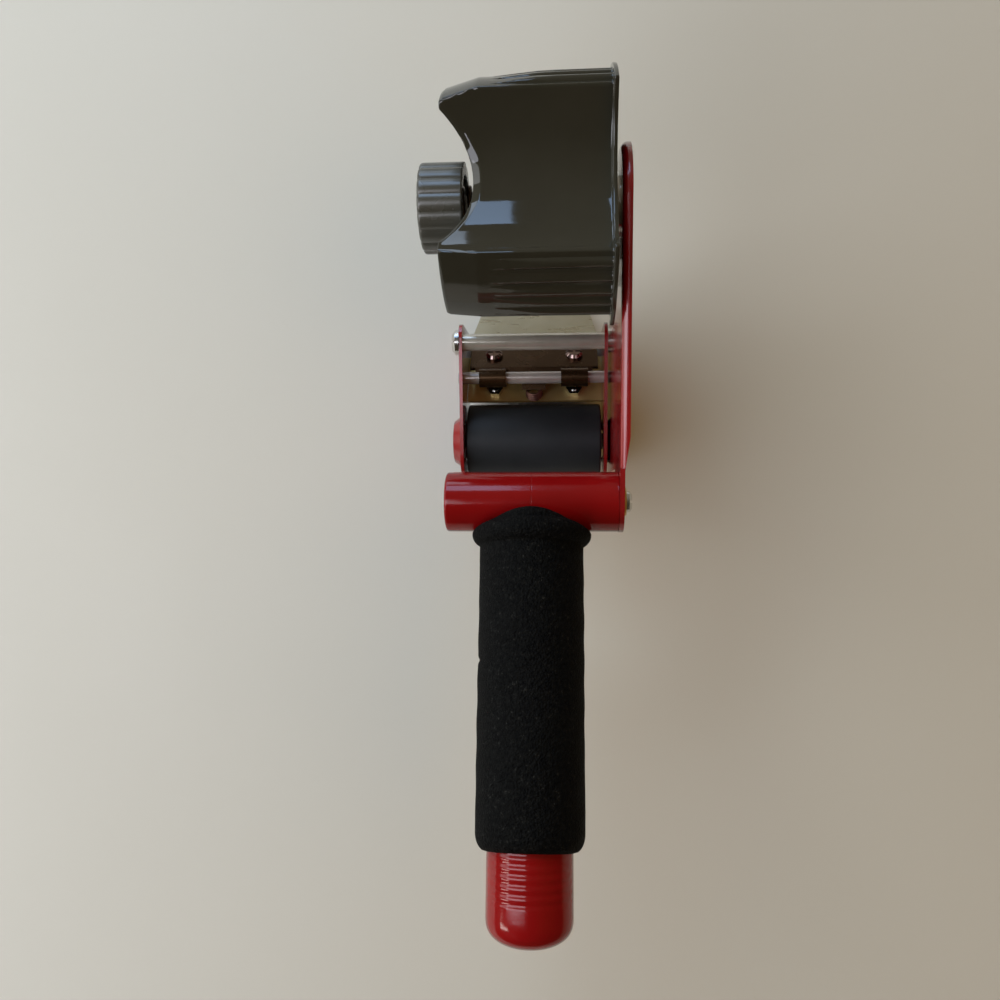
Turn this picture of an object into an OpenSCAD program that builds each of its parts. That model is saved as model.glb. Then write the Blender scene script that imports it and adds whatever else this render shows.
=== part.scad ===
// Pistol-grip packing tape dispenser, in millimetres.
// X runs along the tape hub's stud, Y from the handle to the hub, Z up from the surface it stands on.
// The origin is on the hub's axis, at the middle of the tape's width.

/* [Tape] */
// Width of the tape
tape_w = 50; // [48:0.5:54]
// Play between the tape's edge and a cheek
tape_play = 0.6; // [0.4:0.1:1]
// Radius of the ribs that carry the tape core
core_r = 38; // [37:0.5:39]

/* [Tape hub] */
// Half of the angle that one lobe covers
lobe_half = 20; // [17:0.5:23]
// Angle of the lower lobe, from straight up toward the handle
lobe_turn = 58; // [40:1:75]
// Radius of the hub at the bottom of the pockets between the lobes
pocket_r = 20; // [18:0.5:22]
// Wall of the hub
hub_wall = 2.4; // [2:0.1:3]
// Height of the ribs on the lobes
rib_h = 1.2; // [0.8:0.1:1.5]
// Ribs on one lobe
rib_n = 5; // [3:2:5]
// Length of the tapered noses of the lobes
nose_len = 11; // [8:0.5:12]
// How much the two full lobes drop at the nose
nose_drop = 1.2; // [0.6:0.1:2]
// How much the lead lobe drops at the nose
lead_drop = 2.9; // [2:0.1:5]
// Height of the lip that stops the core
lip_h = 2.6; // [2:0.1:3]
// Thickness of the lip
lip_t = 1.3; // [1:0.1:2]

/* [Brake] */
// Radius of the tension knob
knob_r = 13.8; // [12.5:0.1:15]
// Length of the tension knob
knob_len = 14.4; // [13.5:0.1:16]
// Flutes round the knob
flute_n = 16; // [12:2:20]
// Radius of the stud
stud_r = 4; // [3.5:0.1:4.5]
// Wire radius of the tension spring
brake_wire = 0.8; // [0.6:0.05:0.9]
// Curls of the tension spring
brake_turns = 4; // [3:0.5:4]

/* [Side plate] */
// Thickness of the plate
plate_t = 1.5; // [1.2:0.1:2]
// Radius of the plate's end round the stud
hub_end_r = 18; // [16:0.5:20]
// Width of the rolled flange, plate thickness included
flange_w = 3; // [2.8:0.1:4]

/* [Handle] */
// Hub axis to cross tube axis, along the gun
reach = 92.4; // [88:0.5:98]
// Cross tube axis below the hub axis
tube_drop = 5.6; // [3:0.2:8]
// Radius of the cross tube
tube_r = 9.5; // [9:0.1:10]
// How far the cross tube's left end passes the tape's edge
tube_past = 1.5; // [1:0.1:3]
// Radius of the handle's stem
stem_r = 12.8; // [12.4:0.1:14]
// Angle that the stem rises from the level toward its butt
stem_lift = 12; // [8:0.5:15]
// Cross tube axis to the butt end
stem_len = 130.7; // [124:0.1:140]
// Wall of the handle
handle_wall = 2.8; // [2.4:0.1:3.2]
// Grooves round the stem that show below the foam
groove_n = 6; // [4:1:6]
// Spacing of the grooves
groove_pitch = 2.65; // [2.4:0.05:2.8]
// Wall of the foam grip
foam_wall = 3.5; // [3:0.05:5]
// Length of the foam grip
foam_len = 98.5; // [92:0.5:102]

/* [Head] */
// Thickness of a cheek
cheek_t = 1.2; // [1:0.1:1.4]
// Height of the boss round the axle, which keeps a cheek off the plate
cheek_boss = 1.2; // [1:0.1:1.6]
// Height of the left cheek's boss, which covers the end of the axle
end_boss = 3.6; // [2.4:0.1:4]
// Roller axis behind the hub axis
roller_back = 69.3; // [67:0.1:71]
// Roller axis below the hub axis
roller_drop = 59.4; // [58:0.1:61]
// Radius of the roller
roller_r = 14; // [13.5:0.1:14.5]
// Radius of the roller axle
axle_r = 3; // [2.8:0.1:3.4]
// Guide bar in front of the roller axis
bar_ahead = 35; // [34:0.1:36]
// Guide bar above the roller axis
bar_up = 16.9; // [16.4:0.1:17.4]
// Radius of the guide bar
bar_r = 3; // [2.8:0.1:3.2]
// Hinge rod in front of the roller axis
hinge_ahead = 22.65; // [22.4:0.05:23]
// Hinge rod above the roller axis
hinge_up = 12.4; // [12.2:0.1:12.6]
// Radius of the hinge rod
hinge_r = 2.2; // [2:0.05:2.3]

/* [Wiper and blade] */
// Slope of the flap below the level
flap_slope = 38.6; // [36:0.1:38.6]
// Thickness of the flap plate
flap_t = 1.2; // [1:0.1:1.4]
// Hinge axis to the tip of the wiper
wiper_len = 40; // [36:0.5:40.5]
// Thickness of the wiper sheet
wiper_t = 0.5; // [0.4:0.1:0.8]
// How much the wiper narrows on each side toward its tip
wiper_taper = 3; // [2:0.1:5]
// Slope of the blade below the level
blade_slope = 25; // [24:0.5:26]
// How far the blade stays inside the tape's width, both sides together
blade_inset = 2; // [1:0.1:4]
// Teeth on the blade
teeth = 24; // [18:1:28]
// Height of the teeth
tooth_h = 2.2; // [1.5:0.1:2.5]

/* [Fasteners] */
// Radius of the small screws on the flap and the blade
screw_r = 1.5; // [1.25:0.05:1.6]
// Radius of the bolt through the cross tube
bolt_r = 2.5; // [2:0.1:2.6]
// Radius of the screws in the guide bar
bar_screw_r = 2; // [1.5:0.1:2.1]

/* [Fits] */
// Radial play of a part that turns on a pin
run = 0.06; // [0.04:0.01:0.09]
// Play between parts that only sit together
loose = 0.1; // [0.06:0.01:0.15]

/* [Hidden] */
$fn = 96;
lobe_r = core_r - rib_h;
cheek_gap = tape_w + 2 * tape_play;
cheek_in = cheek_gap / 2;
cheek_out = cheek_in + cheek_t;
plate_in = cheek_out + cheek_boss;
plate_out = plate_in + plate_t;
hub_len = tape_w + 1;
hub_back = plate_in - 1.9;
hub_front = hub_back - hub_len;
corner_y = lobe_r * cos(60 - lobe_half);
pocket_d = (lobe_r * lobe_r - pocket_r * pocket_r) / (2 * (corner_y - pocket_r));
dish_d = 11;
dish_in = 10;
dish_out = 31.5;
dish_x = hub_front + dish_d;
boss_r = stud_r + 5.5;
boss_front = dish_x - 0.7;
washer_t = 1.2;
friction_t = 1.4;
knob_back = boss_front - 4.4;
knob_front = knob_back - knob_len;
web_x = knob_front + 5;
cup_r = knob_r - 4;
spring_x0 = boss_front - loose - washer_t;
spring_x1 = web_x + loose + washer_t;
collar_x = plate_in - 1;
boss_back = collar_x - friction_t - loose;
grip_end_r = tube_r + 0.2;
tube_left = tape_w / 2 + tube_past;
nut_x = -tube_left + handle_wall;
mid_x = (plate_in - tube_left) / 2;
bolt_nut_r = bolt_r * 1.8;
bolt_nut_h = bolt_r * 1.6;
tube = [-reach, -tube_drop];
roller = [-roller_back, -roller_drop];
bar = roller + [bar_ahead, bar_up];
hinge = roller + [hinge_ahead, hinge_up];
roller_len = tape_w - 0.4;
bush_len = axle_r * 3;
floor_z = -roller_drop - roller_r;
butt = reach + stem_len;
foam_r = stem_r + foam_wall;
foam_top = reach + tube_r - 5.4;
foam_end = foam_top + foam_len;
foam_round = foam_wall * 0.82;
foam_lip = reach + tube_r + 1.5;
dome_h = stem_r * 0.425;
arch_r = foam_r * 1.7;
line_a = atan2(-tube_drop, -reach) + 360;
line_b = acos((hub_end_r - grip_end_r) / norm(tube));
near_a = line_a - line_b;
far_a = line_a + line_b;
near_p = hub_end_r * [cos(near_a), sin(near_a)];
near_d = [cos(near_a + 90), sin(near_a + 90)];
flange_run = 82;
flange_fade = 13;
bend_r = plate_t + 0.6;
carrier_p = [roller[0] + roller_r + 1.3, floor_z + roller_r + 2.7];
carrier_len = 19.8;
carrier_t = 1.2;
tab_s = 9;
tab_w = 8;
blade_w = tape_w - blade_inset;
blade_t = 0.8;
blade_s = 1.2;
blade_len = 25.8;
blade_fix = 4.4;
wiper_root = tape_w / 2 - 1.2;
wiper_tip = wiper_root - wiper_taper;
fix_x = tape_w * 0.3;
fix_s = 11.4;
head_r = screw_r * 2.1;
head_h = screw_r * 1.3;
nut_r = screw_r * 2.07;
nut_h = screw_r * 1.5;
spring_s = 2;
flap_s = 5;
flap_len = 17;
knuckle_r = hinge_r + 1.2;
knuckle_half = 4.9;
tail_z = hinge[1] - hinge_r - 0.5 - flap_t;
tail_back = 4.1;
tail_front = 4.4;
tongue_half = 4.4;
collar_r = stud_r * 2.5;
thrust_r = stud_r * 2.25;
bush_r = stud_r + 2;
nut_across = stud_r * 1.75;

side_plate();
hub_stud();
friction_washer();
thrust_washer();
handle_left();
handle_right();
foam_grip();
handle_bolt();
handle_washer();
handle_nut();
left_cheek();
right_cheek();
cheek_spacer();
guide_bar();
guide_bar_screws();
hinge_rod();
blade_carrier();
cutter_blade();
blade_screws();
blade_nuts();
roller_axle();
tape_hub();
hub_bush();
tension_spring();
keyed_washer();
tension_knob();
knob_nut();
roller_sleeve();
roller_core();
roller_bushes();
flap_plate();
wiper();
flap_screws();
flap_nuts();
wiper_spring();

// Shapes shared by several pieces

// A flat outline given in Y and Z, made solid from x0 to x1
module slab(x0, x1) {
  translate([x0, 0, 0]) rotate([90, 0, 90]) linear_extrude(height = x1 - x0) children();
}

// A round bar along X from x0 to x1 on the axis p
module rod(x0, x1, r, p = [0, 0]) {
  translate([x0, p[0], p[1]]) rotate([0, 90, 0]) cylinder(h = x1 - x0, r = r);
}

// A hexagon bar along X
module hex(x0, x1, r, p = [0, 0]) {
  translate([x0, p[0], p[1]]) rotate([0, 90, 0]) cylinder(h = x1 - x0, r = r, $fn = 6);
}

// A profile of radius and X turned about the hub axis
module turned_x() {
  rotate([90, 0, 90]) rotate_extrude() children();
}

// Lifts a level handle about the cross tube's axis, at the middle of the tube
module lifted() {
  translate([mid_x, tube[0], tube[1]]) rotate([-stem_lift, 0, 0])
    translate([0, -tube[0], -tube[1]]) children();
}

// A profile of radius and distance toward the butt, turned about the handle's stem
module turned_stem() {
  lifted() translate([0, 0, -tube_drop]) rotate([90, 0, 0]) rotate_extrude() children();
}

// One corner of an outline, rounded with the radius in its third value
function unit(v) = v / norm(v);
function flat(p) = [p[0], p[1]];
function corner(a, b, c) =
  let (u = unit(flat(a) - flat(b)), v = unit(flat(c) - flat(b)))
  let (h = acos(u * v) / 2, m = flat(b) + unit(u + v) * b[2] / sin(h))
  let (s = flat(b) + u * b[2] / tan(h) - m, e = flat(b) + v * b[2] / tan(h) - m)
  let (a0 = atan2(s[1], s[0]), da = (atan2(e[1], e[0]) - a0 + 900) % 360 - 180)
  [for (i = [0 : 8]) m + b[2] * [cos(a0 + da * i / 8), sin(a0 + da * i / 8)]];
function outline(p) =
  [for (i = [0 : len(p) - 1])
    each (p[i][2] > 0 ? corner(p[(i + len(p) - 1) % len(p)], p[i], p[(i + 1) % len(p)]) : [flat(p[i])])];

// A wire coil along Z from 0 to h, as one unbroken six-sided tube
module coil(r, h, wire, turns) {
  n = turns * 8;
  lean = atan2(h, 2 * PI * r * turns);
  pts = [for (i = [0 : n]) each [for (k = [5 : -1 : 0])
    let (a = i * 45, out = r + wire * cos(k * 60), up = wire * sin(k * 60))
    [out * cos(a) + up * sin(lean) * sin(a), out * sin(a) - up * sin(lean) * cos(a),
      h * i / n + up * cos(lean)]]];
  sides = [for (i = [0 : n - 1]) each [for (k = [0 : 5]) each
    let (p = i * 6 + k, q = i * 6 + (k + 1) % 6)
    [[p, q, q + 6], [p, q + 6, p + 6]]]];
  ends = [[5, 4, 3, 2, 1, 0], [for (k = [0 : 5]) n * 6 + k]];
  echo(gap_between_curls = h / turns - 2 * wire);
  polyhedron(points = pts, faces = concat(sides, ends), convexity = 10);
}

// A pan head with its shank, pointing down from a seat at z = 0
module pan_screw(head_r, head_h, shank_r, shank) {
  cylinder(h = head_h * 0.55, r = head_r);
  translate([0, 0, head_h * 0.55]) cylinder(h = head_h * 0.45, r1 = head_r, r2 = head_r * 0.72);
  translate([0, 0, -shank]) cylinder(h = shank + 0.01, r = shank_r);
}

// Places a piece in the flap's own plane, x across, y toward the wiper's tip, z above the flap
module on_flap() {
  translate([0, hinge[0], hinge[1]]) rotate([-flap_slope, 0, 0]) children();
}

// Places a piece on the top of the blade carrier, y toward the teeth
module on_carrier() {
  translate([0, carrier_p[0], carrier_p[1]]) rotate([-blade_slope, 0, 0]) children();
}

// Side plate, pressed steel with a flange rolled outward along its near edge

// Section of the plate's rolled edge, x outward and y toward the edge, made thinner all round by slim
module flange_profile(slim = 0) {
  centre = [bend_r, -bend_r];
  out_r = bend_r - slim;
  in_r = bend_r - plate_t + slim;
  polygon(concat([[slim, -bend_r - 2]],
    [for (a = [180 : -11.25 : 90]) centre + out_r * [cos(a), sin(a)]],
    [[flange_w - slim, -slim], [flange_w - slim, -plate_t + slim]],
    [for (a = [90 : 11.25 : 180]) centre + in_r * [cos(a), sin(a)]],
    [[plate_t - slim, -bend_r - 2]]));
}

// The flat of the plate, which ends inside the rolled edge round the stud and along the near edge
module plate_flat() {
  na = [cos(near_a), sin(near_a)];
  inset = bend_r + 1;
  lap = 1.5;
  first = far_a - 360 + lap;
  span = near_a - lap - first;
  step_p = near_p + near_d * (flange_run - lap);
  polygon(outline(concat(
    [for (i = [0 : 24]) let (a = first + span * i / 24, r = hub_end_r - inset) [r * cos(a), r * sin(a), 0]],
    [concat(step_p - inset * na, 0), concat(step_p, 0)],
    [for (i = [0 : 24]) let (a = near_a + (270 - near_a) * i / 24)
      concat(tube + grip_end_r * [cos(a), sin(a)], 0)],
    [[-reach + 11, -tube_drop - grip_end_r - 0.1, 8], [roller[0] - 12.6, roller[1] - 10.4, 11],
      [bar[0] + 9.5, bar[1] - 16, 9], [bar[0] + 8, -hub_end_r + 1, 10],
      [hub_end_r * cos(first), hub_end_r * sin(first), 0]])));
}

module side_plate() {
  color("firebrick") difference() {
    union() {
      slab(plate_in, plate_out) plate_flat();
      translate([plate_in, near_p[0], near_p[1]]) rotate([near_a, 0, 0]) difference() {
        translate([0, 0, -0.5]) linear_extrude(height = flange_run + 0.5) flange_profile(0.03);
        rotate([90, 0, 0]) translate([0, 0, -1]) linear_extrude(height = flange_w + bend_r + 4)
          polygon([[flange_w + 1, flange_run - flange_fade - 5], [plate_t - 0.1, flange_run + 0.1],
            [flange_w + 1, flange_run + 0.1]]);
      }
      translate([plate_in, 0, 0]) rotate([90, 0, 90]) rotate([0, 0, far_a - 360])
        rotate_extrude(angle = near_a - far_a + 360)
          translate([hub_end_r, 0]) mirror([1, -1]) flange_profile();
    }
    rod(plate_in - 1, plate_out + 1, stud_r - 0.5);
    rod(plate_in - 1, plate_out + 1, bolt_r + loose, tube);
    rod(plate_in - 1, plate_out + 1, axle_r - 0.5, roller);
    rod(plate_in - 1, plate_out + 1, bar_screw_r + loose, bar);
    rod(plate_in - 1, plate_out + 1, hinge_r, hinge);
    slab(plate_in - 1, plate_out + 1) translate(tube + [4.4 - loose, -1.5 - loose])
      square([2.6 + 2 * loose, 3 + 2 * loose]);
  }
}

// Hub stud, riveted in the plate, with a flat for the keyed washer

module hub_stud() {
  color("silver") difference() {
    union() {
      rod(knob_front + 1.2, plate_in, stud_r);
      rod(collar_x, plate_in, collar_r);
      rod(plate_in - 0.01, plate_out, stud_r - 0.5);
      rod(plate_out, plate_out + 1.2, stud_r * 1.5);
    }
    translate([knob_front, -10, stud_r - 0.7]) cube([spring_x0 - knob_front - 1, 20, 10]);
  }
}

module friction_washer() {
  color("saddlebrown") difference() {
    rod(collar_x - friction_t, collar_x, collar_r);
    rod(0, 60, stud_r + 2 * loose);
  }
}

module thrust_washer() {
  color("silver") difference() {
    rod(spring_x0, spring_x0 + washer_t, thrust_r);
    rod(-60, 60, stud_r + loose);
  }
}

// Tape hub with three lobes

module lobes(grow) {
  difference() {
    circle(r = lobe_r + grow);
    for (k = [0 : 2]) rotate(90 + lobe_turn + 60 + 120 * k)
      translate([pocket_d, 0]) circle(r = pocket_d - pocket_r - grow);
  }
}

module nose(drop) {
  turned_x() polygon([[0, hub_front], [lobe_r - drop, hub_front], [lobe_r, hub_front + nose_len],
    [lobe_r, hub_back], [0, hub_back]]);
}

module lobe_sector(k, wide) {
  slab(hub_front - 1, hub_back + 1) rotate(90 + lobe_turn + 120 * k)
    polygon([[0, 0], [60, -60 * tan(wide)], [60, 60 * tan(wide)]]);
}

module dish() {
  turned_x() polygon(concat([[0, hub_front - 30], [0, dish_x]],
    [for (k = [0 : 8]) let (i = k / 9) [dish_in + (dish_out - dish_in) * i, dish_x - dish_d * i * i]],
    [[dish_out + 0.4, hub_front - 0.6], [dish_out + 0.4, hub_front - 30]]));
}

module hub_ribs() {
  intersection() {
    for (k = [0 : 2]) for (i = [0 : rib_n - 1])
      rotate([90 + lobe_turn + 120 * k + (i - (rib_n - 1) / 2) * 29 / (rib_n - 1), 0, 0])
        rod(hub_front + nose_len, hub_back - lip_t / 2, 1.7, [core_r - 1.7, 0]);
    turned_x() polygon([[0, hub_front + nose_len], [lobe_r - 0.3, hub_front + nose_len],
      [core_r + 0.1, hub_front + nose_len + 8], [core_r + 0.1, hub_back], [0, hub_back]]);
  }
}

module tape_hub() {
  color("dimgray") difference() {
    union() {
      difference() {
        union() {
          slab(hub_front, hub_back) intersection() {
            lobes(0);
            circle(r = 30);
          }
          intersection() {
            slab(hub_front, hub_back) lobes(0);
            nose(lead_drop);
          }
          intersection() {
            slab(hub_front, hub_back) lobes(0);
            nose(nose_drop);
            union() {
              lobe_sector(0, 50);
              lobe_sector(1, 50);
            }
          }
          hub_ribs();
          slab(hub_back - lip_t, hub_back) lobes(lip_h);
        }
        dish();
        intersection() {
          slab(hub_front, hub_back + 1) lobes(-hub_wall);
          turned_x() polygon([[0, dish_x + hub_wall], [20, dish_x - 1.1 + hub_wall],
            [26, dish_x - 5 + hub_wall], [29, dish_x - 5.5 + hub_wall], [lobe_r - hub_wall, dish_x],
            [lobe_r - hub_wall, hub_back + 1], [0, hub_back + 1]]);
        }
      }
      rod(boss_front, boss_back, boss_r);
      for (k = [0 : 2]) rotate([90 + lobe_turn + 120 * k, 0, 0])
        translate([dish_x + 1, 5, -1]) cube([boss_back - dish_x - 8, lobe_r - 6, 2]);
    }
    rod(-60, 60, bush_r);
  }
}

module hub_bush() {
  color("whitesmoke") difference() {
    rod(boss_front + 0.2, boss_back - 0.2, bush_r);
    rod(-60, 60, stud_r + run);
  }
}

// Brake: spring, keyed washer, knob and its nut

module tension_spring() {
  color("silver") translate([spring_x1 + brake_wire + loose, 0, 0]) rotate([0, 90, 0])
    coil(stud_r + 2, spring_x0 - spring_x1 - 2 * brake_wire - 2 * loose, brake_wire, brake_turns);
}

module keyed_washer() {
  color("silver") difference() {
    rod(spring_x1 - washer_t, spring_x1, cup_r - 1);
    intersection() {
      rod(-60, 60, stud_r + run);
      translate([-60, -10, -10]) cube([120, 20, 10 + stud_r - 0.7 + run]);
    }
  }
}

module tension_knob() {
  color("dimgray") difference() {
    union() {
      rod(knob_front + 1, knob_back, knob_r);
      translate([knob_front, 0, 0]) rotate([0, 90, 0]) cylinder(h = 1, r1 = knob_r - 1, r2 = knob_r);
    }
    rod(web_x, knob_back + 1, cup_r);
    hex(knob_front + 1.4, web_x + 1, nut_across);
    rod(knob_front - 1, web_x, stud_r + 1.2);
    for (k = [0 : flute_n - 1]) rotate([360 / flute_n * k, 0, 0])
      rod(knob_front - 1, knob_back + 1, knob_r * 0.24, [knob_r * 1.21, 0]);
  }
}

module knob_nut() {
  color("goldenrod") difference() {
    hex(knob_front + 1.4, web_x, nut_across);
    rod(-60, 60, stud_r + run);
  }
}

// Handle, moulded in two halves that meet in the middle of the cross tube

module stem_profile() {
  polygon(concat([[0, reach], [stem_r, reach]],
    [for (i = [groove_n + 1 : -1 : 0]) each
      let (h = butt - 13.8 - i * groove_pitch)
      [[stem_r, h - 0.75], [stem_r - 0.42, h - 0.25], [stem_r - 0.42, h + 0.25], [stem_r, h + 0.75]]],
    [for (a = [0 : 7.5 : 90]) [stem_r * cos(a), butt - dome_h + dome_h * sin(a)]]));
}

// The upright arch, seen from above, that ends the foam and the stem over the cross tube
module arch(r) {
  lifted() translate([0, -foam_top - arch_r, -tube_drop - 2 * foam_r]) {
    cylinder(h = 4 * foam_r, r = r);
    translate([-r, -stem_len - arch_r, 0]) cube([2 * r, stem_len + arch_r, 4 * foam_r]);
  }
}

module handle_whole() {
  stem_in = stem_r - handle_wall;
  difference() {
    union() {
      intersection() {
        turned_stem() stem_profile();
        arch(arch_r - 1.5);
      }
      rod(-tube_left + 1, plate_in, tube_r, tube);
      translate([-tube_left, tube[0], tube[1]]) rotate([0, 90, 0])
        cylinder(h = 1, r1 = tube_r - 0.6, r2 = tube_r);
      slab(plate_in - 0.01, plate_out) translate(tube + [4.4, -1.5]) square([2.6, 3]);
    }
    turned_stem() polygon([[0, reach + tube_r + 2], [stem_in, reach + tube_r + 2], [stem_in, butt - 8.5],
      [stem_in - 6, butt - 4.5], [0, butt - handle_wall - 0.5]]);
    difference() {
      rod(-tube_left + handle_wall, plate_in - handle_wall, tube_r - handle_wall, tube);
      rod(-tube_left, plate_in, bolt_r * 2, tube);
    }
    rod(nut_x, plate_out, bolt_r + loose, tube);
    hex(nut_x, nut_x + bolt_nut_h + 2 * loose, bolt_nut_r + loose, tube);
  }
}

module handle_left() {
  color("crimson") intersection() {
    handle_whole();
    translate([mid_x - 50, -400, -60]) cube([50, 400, 120]);
  }
}

module handle_right() {
  color("crimson") intersection() {
    handle_whole();
    translate([mid_x, -400, -60]) cube([50, 400, 120]);
  }
}

// Foam sleeve, arched over the cross tube, with a lip pushed up against it

module foam_grip() {
  color("black") difference() {
    intersection() {
      turned_stem() {
        difference() {
          union() {
            translate([stem_r, foam_top]) square([foam_wall, foam_len - foam_round]);
            translate([stem_r, foam_end - foam_round - 0.1])
              square([foam_wall - foam_round, foam_round + 0.1]);
            translate([foam_r - foam_round, foam_end - foam_round]) circle(r = foam_round);
            translate([foam_r - 1.2, foam_lip]) circle(r = foam_wall + 0.15);
          }
          translate([0, foam_top]) square([stem_r, foam_len]);
        }
      }
      arch(arch_r);
    }
    rod(-60, 60, tube_r, tube);
    turned_stem() stem_profile();
  }
}

module handle_bolt() {
  color("silver") difference() {
    translate([plate_out + 1, tube[0], tube[1]]) rotate([0, 90, 0])
      pan_screw(bolt_r * 1.36, bolt_r * 0.72, bolt_r, plate_out + tube_left - handle_wall);
    translate([plate_out + 2, tube[0] - 0.4, tube[1] - 5]) cube([3, 0.8, 10]);
    translate([plate_out + 2, tube[0] - 5, tube[1] - 0.4]) cube([3, 10, 0.8]);
  }
}

module handle_washer() {
  color("goldenrod") difference() {
    rod(plate_out, plate_out + 1, bolt_r * 1.76, tube);
    rod(0, 60, bolt_r + loose, tube);
  }
}

module handle_nut() {
  color("silver") difference() {
    hex(nut_x, nut_x + bolt_nut_h, bolt_nut_r, tube);
    rod(-60, 60, bolt_r + loose / 2, tube);
  }
}

// Head: two cheeks joined by the bar, the hinge rod, the axle and the blade carrier

module cheek_outline() {
  polygon(outline([[bar[0] + 6.6, bar[1] + 4.6, 5], [roller[0] - 14, roller[1] + 14.5, 9],
    [roller[0] - 14, roller[1] - 5, 7], [roller[0] + 22, roller[1] - 8, 6], [bar[0] - 5, floor_z, 2],
    [bar[0] + 7.6, floor_z, 3]]));
}

// A cheek lying on its inner face, x outward, with a boss of the given height
module cheek(boss) {
  difference() {
    union() {
      slab(0, cheek_t) cheek_outline();
      translate([cheek_t - 0.01, roller[0], roller[1]]) rotate([0, 90, 0])
        cylinder(h = boss + 0.01, r1 = 8.8 + boss / 2, r2 = 8);
    }
    translate([-0.01, roller[0], roller[1]]) rotate([0, 90, 0])
      cylinder(h = boss + 0.01, r1 = 7.8 + boss / 2, r2 = 7);
    rod(-1, 10, axle_r - 0.5, roller);
    rod(-1, 10, bar_screw_r + loose, bar);
    rod(-1, 10, hinge_r, hinge);
    translate([-1, 0, 0]) on_carrier() translate([0, tab_s - loose / 2, -carrier_t - loose / 2])
      cube([cheek_t + 2, tab_w + loose, carrier_t + loose]);
  }
}

module left_cheek() {
  color("firebrick") mirror([1, 0, 0]) translate([cheek_in, 0, 0]) cheek(end_boss);
}

module right_cheek() {
  color("firebrick") translate([cheek_in, 0, 0]) cheek(cheek_boss);
}

module cheek_spacer() {
  color("silver") difference() {
    rod(cheek_out, plate_in, bar_screw_r * 2.25, bar);
    rod(0, 60, bar_screw_r + loose, bar);
  }
}

module guide_bar() {
  color("silver") difference() {
    rod(-cheek_in, cheek_in, bar_r, bar);
    rod(-cheek_in - 1, -cheek_in + 11, bar_screw_r, bar);
    rod(cheek_in - 11, cheek_in + 1, bar_screw_r, bar);
  }
}

module bar_screw(seat) {
  difference() {
    translate([seat, bar[0], bar[1]]) rotate([0, 90, 0])
      pan_screw(bar_screw_r * 2.25, bar_screw_r * 1.3, bar_screw_r, seat - cheek_in + 9);
    translate([seat + 1.3, bar[0] - 0.5, bar[1] - 6]) cube([3, 1, 12]);
    translate([seat + 1.3, bar[0] - 6, bar[1] - 0.5]) cube([3, 12, 1]);
  }
}

module guide_bar_screws() {
  color("silver") {
    bar_screw(plate_out);
    mirror([1, 0, 0]) bar_screw(cheek_out);
  }
}

module hinge_rod() {
  color("silver") rod(-cheek_out - 0.8, plate_out + 0.8, hinge_r, hinge);
}

// Blade carrier with a tab through each cheek

module blade_carrier() {
  color("darkkhaki") difference() {
    on_carrier() {
      translate([-cheek_in + loose, 0, -carrier_t])
        cube([2 * cheek_in - 2 * loose, carrier_len, carrier_t]);
      translate([-cheek_out, tab_s, -carrier_t]) cube([2 * cheek_out, tab_w, carrier_t]);
    }
    on_carrier() for (s = [-1, 1]) translate([s * fix_x, blade_fix, -5])
      cylinder(h = 10, r = screw_r + loose);
  }
}

module cutter_blade() {
  color("lightgray") difference() {
    on_carrier() translate([0, 0, -carrier_t - blade_t]) linear_extrude(height = blade_t)
      polygon(concat([[-blade_w / 2, blade_s], [-blade_w / 2, blade_s + blade_len - tooth_h]],
        [for (i = [0 : teeth - 1]) each
          [[-blade_w / 2 + blade_w / teeth * (i + 0.5), blade_s + blade_len],
           [-blade_w / 2 + blade_w / teeth * (i + 1), blade_s + blade_len - tooth_h]]],
        [[blade_w / 2, blade_s]]));
    on_carrier() for (s = [-1, 1]) translate([s * fix_x, blade_fix, -5])
      cylinder(h = 10, r = screw_r + loose);
  }
}

module blade_screws() {
  color("silver") on_carrier() for (s = [-1, 1])
    translate([s * fix_x, blade_fix, -carrier_t - blade_t]) rotate([180, 0, 0])
      pan_screw(head_r * 0.9, head_h * 0.9, screw_r, carrier_t + blade_t + nut_h + 0.4);
}

module blade_nuts() {
  color("silver") on_carrier() for (s = [-1, 1]) translate([s * fix_x, blade_fix, 0]) difference() {
    cylinder(h = nut_h, r = nut_r, $fn = 6);
    translate([0, 0, -1]) cylinder(h = nut_h + 2, r = screw_r + loose / 2);
  }
}

// Roller on its axle

module roller_axle() {
  color("silver") {
    rod(-cheek_in - end_boss, cheek_in + cheek_boss, axle_r, roller);
    rod(-cheek_out - end_boss, -cheek_in, axle_r - 0.5, roller);
    rod(cheek_in, plate_out, axle_r - 0.5, roller);
    rod(plate_out, plate_out + 1.2, axle_r + 1.5, roller);
  }
}

module roller_sleeve() {
  color("black") difference() {
    rod(-roller_len / 2, roller_len / 2, roller_r, roller);
    rod(-60, 60, roller_r - 3.5, roller);
  }
}

module roller_core() {
  color("dimgray") difference() {
    rod(-roller_len / 2 + 0.4, roller_len / 2 - 0.4, roller_r - 3.5, roller);
    rod(-60, 60, axle_r + 2, roller);
    for (s = [-1, 1]) translate([s * (roller_len / 2 - 5), roller[0], roller[1]])
      rotate([0, 90, 0]) translate([0, 0, -5]) difference() {
        cylinder(h = 10, r = roller_r - 5.5);
        translate([0, 0, -1]) cylinder(h = 12, r = axle_r + 3.6);
      }
  }
}

module roller_bushes() {
  color("whitesmoke") for (s = [0, 1]) mirror([s, 0, 0]) difference() {
    union() {
      rod(roller_len / 2 - bush_len, roller_len / 2, axle_r + 2, roller);
      rod(roller_len / 2 - 0.4, roller_len / 2 + 0.4, axle_r + 3.4, roller);
    }
    rod(0, 60, axle_r + run, roller);
  }
}

// Flap: plate with two knuckles and a tail, wiper sheet, screws and nuts

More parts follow.
